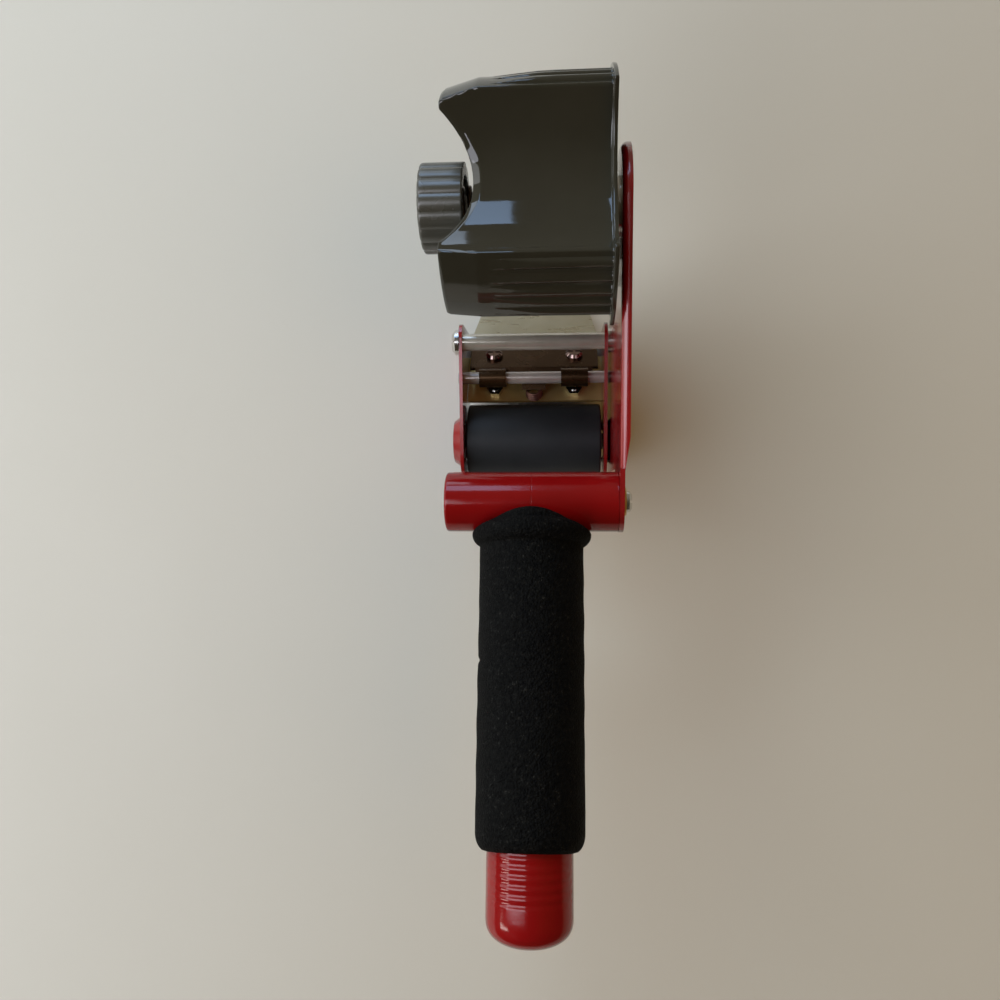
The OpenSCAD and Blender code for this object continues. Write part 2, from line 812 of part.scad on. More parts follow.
module flap_plate() {
  color("lightgray") difference() {
    union() {
      on_flap() translate([-wiper_root, flap_s, -flap_t / 2]) cube([2 * wiper_root, flap_len, flap_t]);
      translate([-wiper_root + 2, hinge[0] - 1, tail_z]) cube([2 * wiper_root - 4, 1 + tail_front, flap_t]);
      translate([-tongue_half, hinge[0] - tail_back, tail_z])
        cube([2 * tongue_half, tail_back + tail_front, flap_t]);
      for (s = [-1, 1]) rod(s * fix_x - knuckle_half, s * fix_x + knuckle_half, knuckle_r, hinge);
    }
    rod(-60, 60, hinge_r + run, hinge);
    on_flap() for (s = [-1, 1]) translate([s * fix_x, fix_s, -5]) cylinder(h = 10, r = screw_r + loose);
    on_flap() for (s = [-1, 1]) translate([s * wiper_root, flap_s + flap_len, 0]) rotate([0, 0, 45])
      cube([5, 5, 9], center = true);
  }
}

module wiper() {
  color("tan") difference() {
    on_flap() translate([0, 0, -flap_t / 2 - wiper_t]) linear_extrude(height = wiper_t)
      polygon(outline([[-wiper_root, flap_s + 3, 0], [-wiper_root, flap_s + flap_len + 3, 0],
        [-wiper_tip, wiper_len, 2.5], [wiper_tip, wiper_len, 2.5], [wiper_root, flap_s + flap_len + 3, 0],
        [wiper_root, flap_s + 3, 0]]));
    on_flap() for (s = [-1, 1]) translate([s * fix_x, fix_s, -5]) cylinder(h = 10, r = screw_r + loose);
  }
}

module flap_screws() {
  color("silver") difference() {
    on_flap() for (s = [-1, 1]) translate([s * fix_x, fix_s, flap_t / 2])
      pan_screw(head_r, head_h, screw_r, flap_t + wiper_t + nut_h + 0.5);
    on_flap() for (s = [-1, 1]) translate([s * fix_x, fix_s, flap_t / 2 + head_h * 0.8]) {
      cube([9, 0.8, 1], center = true);
      cube([0.8, 9, 1], center = true);
    }
  }
}

module flap_nuts() {
  color("silver") on_flap() for (s = [-1, 1])
    translate([s * fix_x, fix_s, -flap_t / 2 - wiper_t - nut_h]) difference() {
      cylinder(h = nut_h, r = nut_r, $fn = 6);
      translate([0, 0, -1]) cylinder(h = nut_h + 2, r = screw_r + loose / 2);
    }
}

// Wiper spring, leaning between the carrier and the flap's tail

module wiper_spring() {
  color("saddlebrown") on_carrier() translate([0, spring_s, 0.45 + loose]) coil(2.8, 5.2, 0.4, 4);
}
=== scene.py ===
import math
import bmesh
import bpy
import numpy as np
from mathutils import Matrix, Vector


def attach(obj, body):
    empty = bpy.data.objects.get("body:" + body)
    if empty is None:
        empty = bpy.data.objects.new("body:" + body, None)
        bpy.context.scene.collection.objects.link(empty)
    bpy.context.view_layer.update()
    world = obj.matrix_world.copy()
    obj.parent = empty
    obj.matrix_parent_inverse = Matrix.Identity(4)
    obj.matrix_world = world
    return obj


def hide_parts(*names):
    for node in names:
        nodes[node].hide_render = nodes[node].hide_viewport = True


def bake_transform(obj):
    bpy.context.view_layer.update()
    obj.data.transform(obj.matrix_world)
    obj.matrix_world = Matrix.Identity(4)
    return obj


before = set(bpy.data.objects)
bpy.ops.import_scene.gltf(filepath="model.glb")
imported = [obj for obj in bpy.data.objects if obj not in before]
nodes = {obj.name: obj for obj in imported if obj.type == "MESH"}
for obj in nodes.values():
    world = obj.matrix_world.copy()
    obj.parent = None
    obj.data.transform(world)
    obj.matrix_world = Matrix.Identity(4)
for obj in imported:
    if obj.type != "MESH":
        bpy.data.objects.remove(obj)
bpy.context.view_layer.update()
print("frame loaded:", len(nodes), "nodes")

# Sizes are in millimetres, in the frame of the solids: X along the hub's stud, Y from handle to hub, Z up.
# Lights and the two welding distances are in metres.
mm = 0.001
fullTurn = 2 * np.pi
weldWithin, flatWithin = 1e-7, 1e-8


# Grids of points become one closed piece. Each grid is (points[nu, nv, 3], wrapU, wrapV), and wrap joins its last row
# to its first.
def surfacePiece(name, grids, sharp=42):
    coords, quads, start = [], [], 0
    for points, wrapU, wrapV in grids:
        nu, nv = points.shape[:2]
        index = np.arange(nu * nv).reshape(nu, nv) + start
        if wrapU:
            index = np.concatenate([index, index[:1]], 0)
        if wrapV:
            index = np.concatenate([index, index[:, :1]], 1)
        corners = [index[:-1, :-1], index[1:, :-1], index[1:, 1:], index[:-1, 1:]]
        quads.append(np.stack(corners, -1).reshape(-1, 4))
        coords.append(points.reshape(-1, 3))
        start += nu * nv
    mesh = bpy.data.meshes.new(name)
    mesh.from_pydata((np.concatenate(coords) * mm).tolist(), [], np.concatenate(quads).tolist())
    build = bmesh.new()
    build.from_mesh(mesh)
    bmesh.ops.remove_doubles(build, verts=build.verts, dist=weldWithin)
    bmesh.ops.dissolve_degenerate(build, edges=build.edges, dist=flatWithin)
    bmesh.ops.recalc_face_normals(build, faces=build.faces)
    build.to_mesh(mesh)
    build.free()
    mesh.shade_smooth()
    mesh.set_sharp_from_angle(angle=math.radians(sharp))
    piece = bpy.data.objects.new(name, mesh)
    bpy.context.scene.collection.objects.link(piece)
    return piece


def quadratic(first, corner, last, t):
    return (1 - t) ** 2 * first + 2 * t * (1 - t) * corner + t ** 2 * last


# The same curve as a row of steps, for values that may differ from angle to angle
def bend(first, corner, last, steps):
    return quadratic(first, corner, last, np.linspace(0, 1, steps)[None])


# A line through corner points (a, b, radius): each corner becomes a quadratic curve that starts and ends one radius
# away from it.
def softLine(corners, closed=False, steps=6):
    points = np.array([corner[:2] for corner in corners], float)
    share = np.linspace(0, 1, steps)[:, None]
    line = []
    for i, corner in enumerate(corners):
        radius = corner[2]
        inner = closed or 0 < i < len(corners) - 1
        if not inner or radius == 0:
            line.append(points[i][None])
            continue
        back = points[i - 1] - points[i]
        ahead = points[(i + 1) % len(points)] - points[i]
        first = points[i] + back / np.linalg.norm(back) * radius
        last = points[i] + ahead / np.linalg.norm(ahead) * radius
        line.append(quadratic(first, points[i], last, share))
    return np.concatenate(line)


# A line of (x, radius) turned about an axis along X through (y0, z0)
def turnedX(line, y0, z0, count=128):
    angle = np.linspace(0, fullTurn, count, endpoint=False)[:, None]
    x, r = line[:, 0][None], line[:, 1][None]
    return np.stack([x + 0 * angle, y0 + r * np.cos(angle), z0 + r * np.sin(angle)], -1)


# Rows of (radius, x), each a value or a row for every angle, joined into one surface about the X axis
def turnedRows(rows, angle):
    spread = [np.broadcast_arrays(radius, x, angle)[:2] for radius, x in rows]
    radius, x = (np.concatenate(part, 1) for part in zip(*spread))
    return np.stack([x, radius * np.cos(angle), radius * np.sin(angle)], -1)


# A round wire of the given radius along a path of points: the ring at each point is set in the plane across the path.
def wireGrid(path, radius, sides=12):
    aside = np.array([0.31, 0.17, 0.93])  # a direction that no part of the paths runs along
    ahead = np.gradient(path, axis=0)
    ahead /= np.linalg.norm(ahead, axis=1)[:, None]
    side = np.cross(ahead, aside)
    side /= np.linalg.norm(side, axis=1)[:, None]
    up = np.cross(side, ahead)
    turn = np.linspace(0, fullTurn, sides, endpoint=False)
    ring = side[:, None] * np.cos(turn)[None, :, None] + up[:, None] * np.sin(turn)[None, :, None]
    body = path[:, None] + radius * ring
    caps = np.repeat(path[[0, -1]][:, None], sides, 1)
    return np.concatenate([caps[:1], body, caps[1:]], 0)


# Gives a finished piece its material and its body, and hides the node that it stands for.
def settle(piece, body, material, replaced):
    piece.data.materials.append(material)
    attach(piece, body)
    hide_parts(replaced)
    return piece


# Materials

def addNode(tree, kind, inputs):
    made = tree.nodes.new(kind)
    for socket, value in inputs.items():
        made.inputs[socket].default_value = value
    return made


# Noise on Object coordinates, with its own stretch along each axis
def addNoise(tree, scale, detail, roughness=0.55, stretch=(1, 1, 1)):
    coords = tree.nodes.new("ShaderNodeTexCoord")
    mapping = addNode(tree, "ShaderNodeMapping", {"Scale": stretch})
    noise = addNode(tree, "ShaderNodeTexNoise", {"Scale": scale, "Detail": detail, "Roughness": roughness})
    tree.links.new(coords.outputs["Object"], mapping.inputs["Vector"])
    tree.links.new(mapping.outputs["Vector"], noise.inputs["Vector"])
    return noise.outputs["Fac"]


def addRamp(tree, source, stops):
    ramp = tree.nodes.new("ShaderNodeValToRGB")
    while len(ramp.color_ramp.elements) < len(stops):
        ramp.color_ramp.elements.new(0.5)
    for element, (place, colour) in zip(ramp.color_ramp.elements, stops):
        element.position = place
        element.color = (*colour, 1)
    tree.links.new(source, ramp.inputs["Fac"])
    return ramp.outputs["Color"]


def addRange(tree, source, low, high, fromLow=0.3, fromHigh=0.7):
    spread = addNode(tree, "ShaderNodeMapRange", {
        "From Min": fromLow, "From Max": fromHigh, "To Min": low, "To Max": high})
    tree.links.new(source, spread.inputs["Value"])
    return spread.outputs["Result"]


def addBump(tree, source, strength, distance, under=None):
    bump = addNode(tree, "ShaderNodeBump", {"Strength": strength, "Distance": distance})
    tree.links.new(source, bump.inputs["Height"])
    if under is not None:
        tree.links.new(under, bump.inputs["Normal"])
    return bump.outputs["Normal"]


def newMaterial(name):
    material = bpy.data.materials.new(name)
    material.use_nodes = True
    return material, material.node_tree, material.node_tree.nodes["Principled BSDF"]


grainDepth = 0.0002
cloudDetail, roughDetail, grainDetail = 4, 3, 2


# A Principled finish: colour from cloudy noise between stops, roughness that wanders, and fine bump.
def makeFinish(name, look):
    material, tree, shader = newMaterial(name)
    cloud = addNoise(tree, look["cloudScale"], cloudDetail)
    tree.links.new(addRamp(tree, cloud, look["colours"]), shader.inputs["Base Color"])
    wander = addNoise(tree, look["roughScale"], roughDetail, stretch=look.get("roughStretch", (1, 1, 1)))
    tree.links.new(addRange(tree, wander, *look["rough"]), shader.inputs["Roughness"])
    grain = addNoise(tree, look["grainScale"], grainDetail, stretch=look.get("grainStretch", (1, 1, 1)))
    tree.links.new(addBump(tree, grain, look["grain"], grainDepth), shader.inputs["Normal"])
    for socket, value in look.get("sockets", {}).items():
        shader.inputs[socket].default_value = value
    return material


looks = {
    "redPaint": dict(
        colours=[(0.3, (0.24, 0.006, 0.007)), (0.7, (0.29, 0.008, 0.009))], cloudScale=38,
        rough=(0.16, 0.24), roughScale=60, grain=0.05, grainScale=900,
        sockets={"Specular IOR Level": 0.6, "Coat Weight": 0.6, "Coat Roughness": 0.1},
    ),
    "redPlastic": dict(
        colours=[(0.3, (0.215, 0.0032, 0.004)), (0.7, (0.25, 0.0048, 0.0056))], cloudScale=30,
        rough=(0.09, 0.14), roughScale=70, grain=0.03, grainScale=700,
        sockets={"Specular IOR Level": 0.4},
    ),
    "greyPlastic": dict(
        colours=[(0.25, (0.025, 0.023, 0.016)), (0.75, (0.035, 0.033, 0.024))], cloudScale=26,
        rough=(0.03, 0.07), roughScale=45, grain=0.05, grainScale=300, grainStretch=(0.35, 1, 1),
        sockets={"Specular IOR Level": 0.55},
    ),
    "knobPlastic": dict(
        colours=[(0.25, (0.058, 0.056, 0.047)), (0.75, (0.074, 0.072, 0.062))], cloudScale=60,
        rough=(0.20, 0.30), roughScale=80, grain=0.06, grainScale=500, grainStretch=(0.3, 1, 1),
        sockets={"Specular IOR Level": 0.7},
    ),
    "blackRubber": dict(
        colours=[(0.3, (0.017, 0.019, 0.022)), (0.7, (0.024, 0.0265, 0.0305))], cloudScale=60,
        rough=(0.40, 0.50), roughScale=120, roughStretch=(0.2, 1, 1), grain=0.10, grainScale=1500,
        sockets={"Specular IOR Level": 0.2},
    ),
    "darkPlastic": dict(
        colours=[(0.3, (0.03, 0.03, 0.03)), (0.7, (0.05, 0.05, 0.05))], cloudScale=60,
        rough=(0.4, 0.5), roughScale=120, grain=0.08, grainScale=900,
    ),
    "platedSteel": dict(
        colours=[(0.3, (0.66, 0.645, 0.61)), (0.7, (0.76, 0.745, 0.71))], cloudScale=120,
        rough=(0.14, 0.24), roughScale=400, roughStretch=(0.15, 1, 1), grain=0.05, grainScale=1600,
        grainStretch=(0.05, 1, 1), sockets={"Metallic": 1.0},
    ),
    "flapSteel": dict(
        colours=[(0.3, (0.064, 0.033, 0.014)), (0.7, (0.078, 0.042, 0.019))], cloudScale=60,
        rough=(0.25, 0.29), roughScale=120, grain=0.01, grainScale=500, sockets={"Metallic": 0.8},
    ),
    # Screw heads: steel darkened and tinted red, a painted reflection of the dark red parts around them.
    "screwSteelPaintedReflection": dict(
        colours=[(0.3, (0.27, 0.19, 0.175)), (0.7, (0.34, 0.25, 0.23))], cloudScale=150,
        rough=(0.09, 0.14), roughScale=400, grain=0.03, grainScale=1200, sockets={"Metallic": 1.0},
    ),
    "barSteel": dict(
        colours=[(0.3, (0.58, 0.545, 0.48)), (0.7, (0.68, 0.645, 0.58))], cloudScale=150,
        rough=(0.10, 0.18), roughScale=400, roughStretch=(0.15, 1, 1), grain=0.05, grainScale=1600,
        grainStretch=(0.05, 1, 1), sockets={"Metallic": 0.6},
    ),
    "paleSteel": dict(
        colours=[(0.3, (0.47, 0.42, 0.40)), (0.7, (0.57, 0.515, 0.49))], cloudScale=150,
        rough=(0.18, 0.28), roughScale=400, roughStretch=(0.15, 1, 1), grain=0.05, grainScale=1600,
        grainStretch=(0.05, 1, 1), sockets={"Metallic": 0.5},
    ),
    "yellowZinc": dict(
        colours=[(0.25, (0.68, 0.52, 0.20)), (0.75, (0.82, 0.65, 0.29))], cloudScale=110,
        rough=(0.36, 0.50), roughScale=260, grain=0.08, grainScale=1200,
        sockets={"Metallic": 0.45},
    ),
    # Wiper spring: steel coloured dark red-brown, a painted reflection of the red parts around it.
    "springSteelPaintedReflection": dict(
        colours=[(0.3, (0.16, 0.07, 0.055)), (0.7, (0.24, 0.12, 0.09))], cloudScale=300,
        rough=(0.3, 0.4), roughScale=500, grain=0.05, grainScale=1500, sockets={"Metallic": 0.85},
    ),
    "bladeSteel": dict(
        colours=[(0.3, (0.42, 0.365, 0.25)), (0.7, (0.51, 0.45, 0.32))], cloudScale=60,
        rough=(0.24, 0.38), roughScale=300, roughStretch=(0.2, 1, 1), grain=0.06, grainScale=1500,
        grainStretch=(0.06, 1, 1), sockets={"Metallic": 1.0},
    ),
    "brass": dict(
        colours=[(0.3, (0.62, 0.43, 0.16)), (0.7, (0.72, 0.52, 0.22))], cloudScale=200,
        rough=(0.24, 0.34), roughScale=400, grain=0.05, grainScale=1500, sockets={"Metallic": 1.0},
    ),
    "fibre": dict(
        colours=[(0.3, (0.19, 0.085, 0.035)), (0.7, (0.28, 0.135, 0.06))], cloudScale=500,
        rough=(0.7, 0.85), roughScale=500, grain=0.3, grainScale=1800,
    ),
    "whitePlastic": dict(
        colours=[(0.3, (0.74, 0.74, 0.70)), (0.7, (0.80, 0.80, 0.77))], cloudScale=100,
        rough=(0.35, 0.45), roughScale=200, grain=0.05, grainScale=900,
    ),
}
finishes = {name: makeFinish(name, look) for name, look in looks.items()}

# The last colour stop paints pale specks as glints of cell facets catching light.
foamLook = dict(
    colours=[(0.40, (0.0008, 0.0008, 0.0008)), (0.62, (0.0055, 0.0055, 0.0051)), (0.78, (0.055, 0.053, 0.048))],
    rough=(0.72, 0.95), specular=0.1, speckScale=825, speckDetail=5, speckRough=0.7,
    poreScale=1500, pore=0.9, poreDepth=0.0004,
    lumpScale=420, lumpDetail=4, lumpRough=0.65, lump=0.5, lumpDepth=0.0005,
)


# Closed-cell foam: cells from a Voronoi pattern over soft lumps, with a few pale specks painted in as highlights of
# cell facets catching light.
def makeFoam(name, look):
    material, tree, shader = newMaterial(name)
    coords = tree.nodes.new("ShaderNodeTexCoord")
    cells = addNode(tree, "ShaderNodeTexVoronoi", {"Scale": look["poreScale"]})
    tree.links.new(coords.outputs["Object"], cells.inputs["Vector"])
    glintSpecks = addNoise(tree, look["speckScale"], look["speckDetail"], look["speckRough"])
    tree.links.new(addRamp(tree, glintSpecks, look["colours"]), shader.inputs["Base Color"])
    lumpNoise = addNoise(tree, look["lumpScale"], look["lumpDetail"], look["lumpRough"])
    lumps = addBump(tree, lumpNoise, look["lump"], look["lumpDepth"])
    pores = addBump(tree, cells.outputs["Distance"], look["pore"], look["poreDepth"], lumps)
    tree.links.new(pores, shader.inputs["Normal"])
    tree.links.new(addRange(tree, glintSpecks, *look["rough"]), shader.inputs["Roughness"])
    shader.inputs["Specular IOR Level"].default_value = look["specular"]
    return material


finishes["blackFoam"] = makeFoam("blackFoam", foamLook)
print("materials made:", len(finishes))

# Tape hub

hubSizes = dict(
    lobeRadius=36.8, coreRadius=38.0, pocketRadius=20.0, lobeHalf=20.0, leadLobe=28.0, front=-24.9, back=26.1, wall=2.4,
    lipThick=1.3, lipHeight=2.6, lipFoot=0.5, lipRound=0.4, noseLength=11.0, noseDrop=1.2, leadDrop=2.9,
    ribs=5, ribSpread=29.0, ribRound=1.7, ribRamp=20.0, ribSunk=0.3, ribRise=1.6,
    dish=11.0, dishFrom=10.0, dishTo=31.5, shellFrom=8.0,
    edge=0.9, edgeIn=0.55, edgeSoft=0.3, pocketEdge=1.5, pocketFrom=24.0, pocketOver=20.0, soften=0.35, noPocket=60.0,
    bossRadius=9.5, bore=6.0, bossFront=-14.6, bossBack=25.5, bossRound=0.5, boreRound=0.3,
    webHalf=1.0, webFrom=9.2, webTo=34.6, webFront=-12.2, webBack=18.2, webRound=0.3,
    cavityRadius=(0, 20, 26, 29, 34.4), cavityDepth=(2.4, 1.3, -2.6, -3.1, 0.0),
    fineReach=24, fineStep=0.4, coarseStep=2.0, frontRows=26, backRows=12, backShare=0.05,
)
lobeStep, halfStep = 120, 60  # degrees from lobe to lobe, and half of that
lobeTurns = hubSizes["leadLobe"] + np.array([0, lobeStep, 2 * lobeStep])
# Rows along the side as shares of its length: close where the ribs run out, then a few to the lip
sideShares = np.concatenate([np.linspace(0, 0.4, 30), np.linspace(0.45, 1, 6)])


# Radius of the three-lobed outline at an angle in degrees: a circle for the lobes, a circle cut in for each pocket,
# joined by a soft minimum, and raised by the ribs where they stand.
def hubRadius(angle, x, grow, ribbed=False, s=hubSizes):
    near = s["lobeRadius"] * math.cos(math.radians(halfStep - s["lobeHalf"]))
    away = (s["lobeRadius"] ** 2 - s["pocketRadius"] ** 2) / (2 * (near - s["pocketRadius"]))
    fromLobe = (angle - s["leadLobe"] + halfStep) % lobeStep - halfStep
    fromPocket = np.radians((angle - s["leadLobe"]) % lobeStep - halfStep)
    cut = away - s["pocketRadius"] - grow
    under = cut ** 2 - (away * np.sin(fromPocket)) ** 2
    pocket = np.where(under > 0, away * np.cos(fromPocket) - np.sqrt(np.maximum(under, 0)), s["noPocket"])
    lead = np.abs((angle - s["leadLobe"] + 180) % 360 - 180) < halfStep
    taper = np.clip((s["front"] + s["noseLength"] - x) / s["noseLength"], 0, 1)
    lobe = s["lobeRadius"] + grow - np.where(lead, s["leadDrop"], s["noseDrop"]) * taper
    radius = -s["soften"] * np.log(np.exp(-lobe / s["soften"]) + np.exp(-pocket / s["soften"]))
    if ribbed:
        pitch = s["ribSpread"] / (s["ribs"] - 1)
        slot = np.clip(np.round(fromLobe / pitch), -(s["ribs"] // 2), s["ribs"] // 2)
        offset = np.radians(fromLobe - slot * pitch)
        centre = s["coreRadius"] - s["ribRound"]
        under = s["ribRound"] ** 2 - (centre * np.sin(offset)) ** 2
        rib = np.where(under > 0, centre * np.cos(offset) + np.sqrt(np.maximum(under, 0)), 0)
        behind = x - s["front"] - s["noseLength"]
        ramp = s["lobeRadius"] - s["ribSunk"] + behind / s["ribRamp"] * s["ribRise"]
        radius = np.where(x > s["front"] + s["noseLength"], np.maximum(radius, np.minimum(rib, ramp)), radius)
    return radius


# How far the chamfer of the front rim reaches along the hub at an angle: wider in the pockets
def rimEdge(angle, s=hubSizes):
    fromLobe = np.abs((angle - s["leadLobe"] + halfStep) % lobeStep - halfStep)
    return s["edge"] + s["pocketEdge"] * np.clip((fromLobe - s["pocketFrom"]) / s["pocketOver"], 0, 1)


# X of the dished front face at a radius: flat round the stud, then a parabola out to the rim
def dishX(radius, s=hubSizes):
    share = np.clip((radius - s["dishFrom"]) / (s["dishTo"] - s["dishFrom"]), 0, 1)
    return s["front"] + s["dish"] * (1 - share ** 2)


# X of the cavity's floor behind the dish at a radius
def cavityX(radius, s=hubSizes):
    return np.interp(radius, s["cavityRadius"], s["front"] + s["dish"] + np.array(s["cavityDepth"]))


# The shell is one closed surface over the angle and a line that runs from the stud over the dished front, round the
# rim, along the outside, over the lip and back inside to the stud.
def hubShell(s=hubSizes):
    fine = np.arange(-s["fineReach"], s["fineReach"], s["fineStep"])
    coarse = np.arange(s["fineReach"], lobeStep - s["fineReach"], s["coarseStep"])
    angle = np.concatenate([turn + np.concatenate([fine, coarse]) for turn in lobeTurns])[:, None]
    back, lipX = s["back"], s["back"] - s["lipThick"]
    rim = hubRadius(angle, s["front"], 0)
    edge, soft = rimEdge(angle), s["edgeSoft"]
    inRim = rim - edge * s["edgeIn"]
    rimX = dishX(inRim)
    slant = np.sqrt(1 + s["edgeIn"] ** 2)
    partX, partR = soft / slant, soft * s["edgeIn"] / slant
    frontR = s["shellFrom"] + (inRim - soft - s["shellFrom"]) * np.linspace(0, 1, s["frontRows"])[None]
    sideFrom, sideTo = rimX + edge + soft, lipX - s["lipFoot"]
    sideX = sideFrom + (sideTo - sideFrom) * sideShares[None]
    low = hubRadius(angle, lipX, 0, True)
    high = hubRadius(angle, lipX, s["lipHeight"])
    lipR = high - s["lipRound"]
    inner = hubRadius(angle, 0.0, -s["wall"])
    backR = inner + (s["shellFrom"] - inner) * np.linspace(s["backShare"], 1, s["backRows"])[None]
    return turnedRows([
        (frontR, dishX(frontR)),
        (bend(inRim - soft, inRim, inRim + partR, 5), bend(dishX(inRim - soft), rimX, rimX + partX, 5)),
        (bend(rim - partR, rim, rim, 5), bend(rimX + edge - partX, rimX + edge, sideFrom, 5)),
        (hubRadius(angle, sideX, 0, True), sideX),
        (bend(low, low, low + s["lipFoot"], 4), bend(sideTo, lipX, lipX, 4)),
        (bend(lipR, high, high, 5), bend(lipX, lipX, lipX + s["lipRound"], 5)),
        (bend(high, high, lipR, 5), bend(back - s["lipRound"], back, back, 5)),
        (inner, back + (cavityX(inner) - back) * np.linspace(0, 1, 4)[None]),
        (backR, cavityX(backR)),
    ], np.radians(angle))


# A flat web from the boss to the middle of a lobe
def hubWeb(turn, s=hubSizes):
    ring = softLine([
        (-s["webHalf"], s["webFrom"], s["webRound"]), (s["webHalf"], s["webFrom"], s["webRound"]),
        (s["webHalf"], s["webTo"], s["webRound"]), (-s["webHalf"], s["webTo"], s["webRound"])], True, 3)
    out = np.array([math.cos(math.radians(turn)), math.sin(math.radians(turn))])
    side = np.array([-out[1], out[0]])
    flat = ring[:, :1] * side + ring[:, 1:] * out
    middle = np.repeat(flat.mean(0)[None], len(flat), 0)
    levels = [(middle, s["webFront"]), (flat, s["webFront"]), (flat, s["webBack"]), (middle, s["webBack"])]
    return np.stack([np.concatenate([np.full((len(flat), 1), x), points], 1) for points, x in levels], 0)


def makeHub(s=hubSizes):
    boss = turnedX(softLine([
        (s["bossFront"], s["bore"], s["boreRound"]), (s["bossFront"], s["bossRadius"], s["bossRound"]),
        (s["bossBack"], s["bossRadius"], s["bossRound"]), (s["bossBack"], s["bore"], s["boreRound"])], True), 0, 0)
    webs = [(hubWeb(turn), False, True) for turn in lobeTurns]
    return surfacePiece("tapeHub", [(hubShell(), True, True), (boss, True, True), *webs])


settle(makeHub(), "hub", finishes["greyPlastic"], "tape_hub")
print("tape hub made")

# Tension knob

knobSizes = dict(
    radius=13.8, front=-33.4, back=-19.6, lobes=16, lobeDepth=0.5, lobePower=2.3, frontFlat=1.6, frontRound=1.3,
    backRound=0.5, sideFrom=2.0, sideTo=0.7, cup=9.8, rimIn=1.0, cupRound=0.4, web=-28.4, webRound=0.5,
    nutBack=-32.0, nutRadius=6.9, nutRound=0.2, hole=5.2, holeRound=0.3, holeFlat=0.4, turnSteps=384,
)


# The knob is one closed surface over the angle and a line from the hole over the front, the lobed side and the open
# cup. Each lobe is a low arch, so narrow grooves are left between the lobes.
def makeKnob(s=knobSizes):
    front, back = s["front"], s["back"]
    angle = np.linspace(0, fullTurn, s["turnSteps"], endpoint=False)[:, None]
    phase = (angle * s["lobes"] / np.pi) % 2 - 1
    outer = s["radius"] - s["lobeDepth"] * np.abs(phase) ** s["lobePower"]
    inside = softLine([
        (s["cup"] + s["rimIn"], back, 0), (s["cup"], back, s["cupRound"]), (s["cup"], s["web"], s["webRound"]),
        (s["nutRadius"], s["web"], s["nutRound"]), (s["nutRadius"], s["nutBack"], s["nutRound"]),
        (s["hole"], s["nutBack"], s["nutRound"]), (s["hole"], front, s["holeRound"]),
        (s["hole"] + s["holeFlat"], front, 0)])
    shell = turnedRows([
        (np.linspace(s["hole"] + s["holeFlat"], s["radius"] - s["frontFlat"], 8)[None], front),
        (bend(outer - s["frontRound"], outer, outer, 7), bend(front, front, front + s["frontRound"], 7)),
        (outer, np.linspace(front + s["sideFrom"], back - s["sideTo"], 4)[None]),
        (bend(outer, outer, outer - s["backRound"], 5), bend(back - s["backRound"], back, back, 5)),
        (inside[:, 0][None], inside[:, 1][None]),
    ], angle)
    return surfacePiece("tensionKnob", [(shell, True, True)])


settle(makeKnob(), "knob", finishes["knobPlastic"], "tension_knob")
print("tension knob made")

# Handle

handleSizes = dict(
    tubeY=-92.4, tubeZ=-5.6, tubeRadius=9.5, left=-26.5, right=28.0, leftRound=1.0, rightRound=0.3, middle=0.75,
    seam=0.12, guard=0.3, stemRadius=12.8, stemLength=130.7, stemShown=42.0, lift=12.0, dome=9.0, domePower=2 / 3,
    grooves=8, groovePitch=2.65, grooveFirst=13.8, grooveDepth=0.15, fadeFrom=0.2, fadeOver=0.45, start=5.6, arch=26.2,
    straightRows=300, domeRows=49, turnSteps=73,
)


# Places points (across, along the stem from the cross tube's axis, above the stem's axis) on the lifted handle
def onStem(across, along, above, s=handleSizes):
    lift = math.radians(s["lift"])
    y = s["tubeY"] - along * math.cos(lift) + above * math.sin(lift)
    z = s["tubeZ"] + along * math.sin(lift) + above * math.cos(lift)
    return np.stack(np.broadcast_arrays(s["middle"] + across, y, z), -1)


# Half of the cross tube. Rings beside its rounded ends keep the long faces' normals straight.
def handleTube(side, s=handleSizes):
    end, soft = (s["left"], s["leftRound"]) if side < 0 else (s["right"], s["rightRound"])
    middle, radius = s["middle"], s["tubeRadius"]
    line = softLine([
        (middle, 0.0, 0), (middle, radius, s["seam"]), (middle + side * s["guard"], radius, 0),
        (end - side * (soft + s["guard"]), radius, 0), (end, radius, soft), (end, 0.0, 0)], steps=8)
    return turnedX(line, s["tubeY"], s["tubeZ"])


# Half of the stem, turned about its axis: it starts at an arch under the foam and carries the shallow grooves, which
# fade out toward the sides, and the domed butt.
def handleStem(side, s=handleSizes):
    domeFrom = s["stemLength"] - s["dome"]
    straight = np.linspace(s["stemLength"] - s["stemShown"], domeFrom, s["straightRows"])
    fromFirst = s["stemLength"] - s["grooveFirst"] - straight
    place = np.clip(np.round(fromFirst / s["groovePitch"]), 0, s["grooves"] - 1)
    wave = np.clip((fromFirst - place * s["groovePitch"]) / s["groovePitch"], -0.5, 0.5)
    groove = s["grooveDepth"] * (0.5 + 0.5 * np.cos(fullTurn * wave))
    rise = np.linspace(0, np.pi / 2, s["domeRows"])[1:]
    along = np.concatenate([straight, domeFrom + s["dome"] * np.sin(rise) ** s["domePower"]])[None]
    radius = s["stemRadius"] * np.concatenate([np.ones(len(straight)), np.cos(rise)])[None]
    groove = np.concatenate([groove, np.zeros(len(rise))])[None]
    turn = np.linspace(-np.pi / 2, np.pi / 2, s["turnSteps"])[:, None]
    radius = radius - groove * np.clip((np.abs(np.sin(turn)) - s["fadeFrom"]) / s["fadeOver"], 0, 1)
    rim = s["start"] + s["arch"] - np.sqrt(s["arch"] ** 2 - (s["stemRadius"] * np.cos(turn)) ** 2)
    along = np.concatenate([s["start"] + 0 * turn, rim, along + 0 * turn], 1)
    radius = np.concatenate([0 * turn, s["stemRadius"] + 0 * turn, radius], 1)
    return onStem(side * radius * np.cos(turn), along, radius * np.sin(turn))


